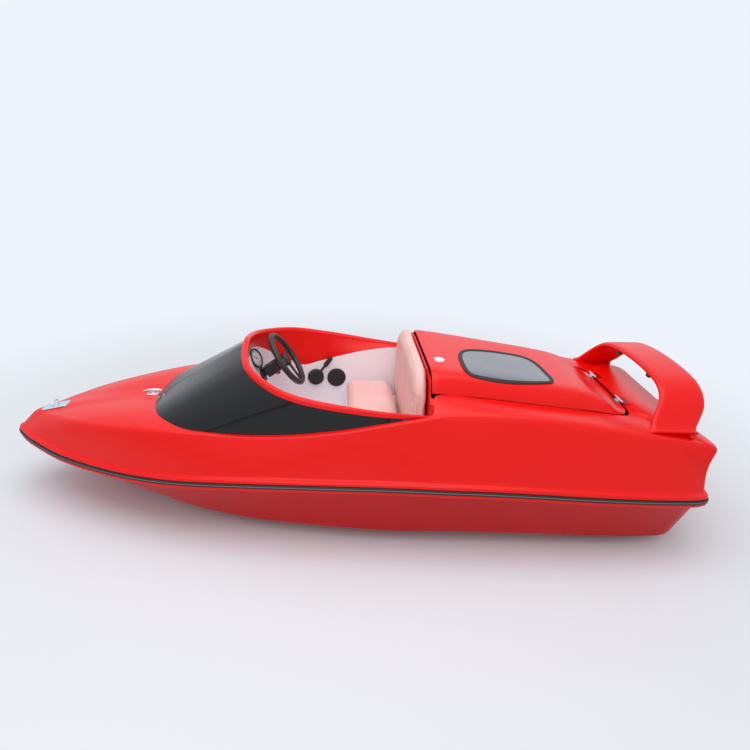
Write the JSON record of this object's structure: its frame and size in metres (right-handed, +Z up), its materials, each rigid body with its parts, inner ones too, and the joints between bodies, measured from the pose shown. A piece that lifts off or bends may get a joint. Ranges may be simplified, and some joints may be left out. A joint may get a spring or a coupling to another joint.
{
  "type": "jet boat",
  "caption": "Small glossy open jet boat with a wraparound dark screen, bench seat, hinged engine hatch, stern arch and a steerable jet nozzle with reverse bucket.",
  "frame": {"origin": "middle of the whole boat in plan, at the underside of the keel plank", "axes": "+X forward to the bow, +Y to port, +Z up"},
  "size_m": [3.2932, 1.201, 0.816],
  "materials": {
    "gelcoat_red": "gloss",
    "screen_black": "gloss",
    "liner_white": "satin",
    "seat_vinyl": "satin",
    "rubber_black": "matte",
    "black_plastic": "satin",
    "gauge_glass": "gloss",
    "switch_red": "gloss",
    "window_grey": "satin",
    "chrome": "polished",
    "alloy": "satin",
    "steel": "satin"
  },
  "bodies": {
    "boat": {"hull_shell": "gelcoat_red", "transom_panel": "gelcoat_red", "keel_plank": "black_plastic", "deck_shell": "gelcoat_red", "rub_strip": "rubber_black", "windscreen": "screen_black", "cockpit_coaming": "gelcoat_red", "cockpit_liner": "liner_white", "engine_bulkhead": "liner_white", "dashboard": "liner_white", "gauge_pod": "black_plastic", "gauge_lens": "gauge_glass", "steering_column": "black_plastic", "stop_switch": "switch_red", "control_base": "black_plastic", "control_lever": "black_plastic", "access_plate": "black_plastic", "seat_base": "liner_white", "seat_cushion": "seat_vinyl", "seat_back": "seat_vinyl", "hinge_fixed": "chrome", "stern_arch": "gelcoat_red", "arch_clips": "black_plastic", "bow_handle": "chrome", "deck_cleat": "chrome", "bow_eye": "chrome", "stern_eyes": "chrome", "engine_block": "alloy", "engine_bed": "gelcoat_red", "intake_grate": "steel", "intake_duct": "alloy", "transom_flange": "alloy", "pump_housing": "alloy"},
    "steering": {"steering_wheel": "black_plastic"},
    "nozzle": {"steering_nozzle": "alloy"},
    "bucket": {"reverse_bucket": "alloy"},
    "impeller": {"impeller": "steel"},
    "hatch": {"hatch_lid": "gelcoat_red", "hatch_gasket": "rubber_black", "hatch_window": "window_grey", "hatch_cap": "liner_white", "hinge_moving": "chrome"}
  },
  "joints": [
    {"name": "wheel_turn", "type": "hinge", "parent": "boat", "child": "steering", "pos_m": [0.275, -0.165, 0.647], "axis": [0.8241, 0, -0.5664], "range_deg": [-160, 160]},
    {"name": "nozzle_steer", "type": "hinge", "parent": "boat", "child": "nozzle", "pos_m": [-1.57, 0, 0.135], "axis": [0, 0, 1], "range_deg": [-15, 15]},
    {"name": "bucket_drop", "type": "hinge", "parent": "nozzle", "child": "bucket", "pos_m": [-1.6, 0, 0.135], "axis": [0, -1, 0], "range_deg": [0, 75]},
    {"name": "impeller_spin", "type": "hinge", "parent": "boat", "child": "impeller", "pos_m": [-1.45, 0, 0.135], "axis": [1, 0, 0], "continuous": true},
    {"name": "hatch_open", "type": "hinge", "parent": "boat", "child": "hatch", "pos_m": [-1.327, 0, 0.5914], "axis": [0, -1, 0], "range_deg": [0, 60]}
  ],
  "couplings": [
    {"joint": "nozzle_steer", "follows": "wheel_turn", "ratio": 0.09375}
  ]
}
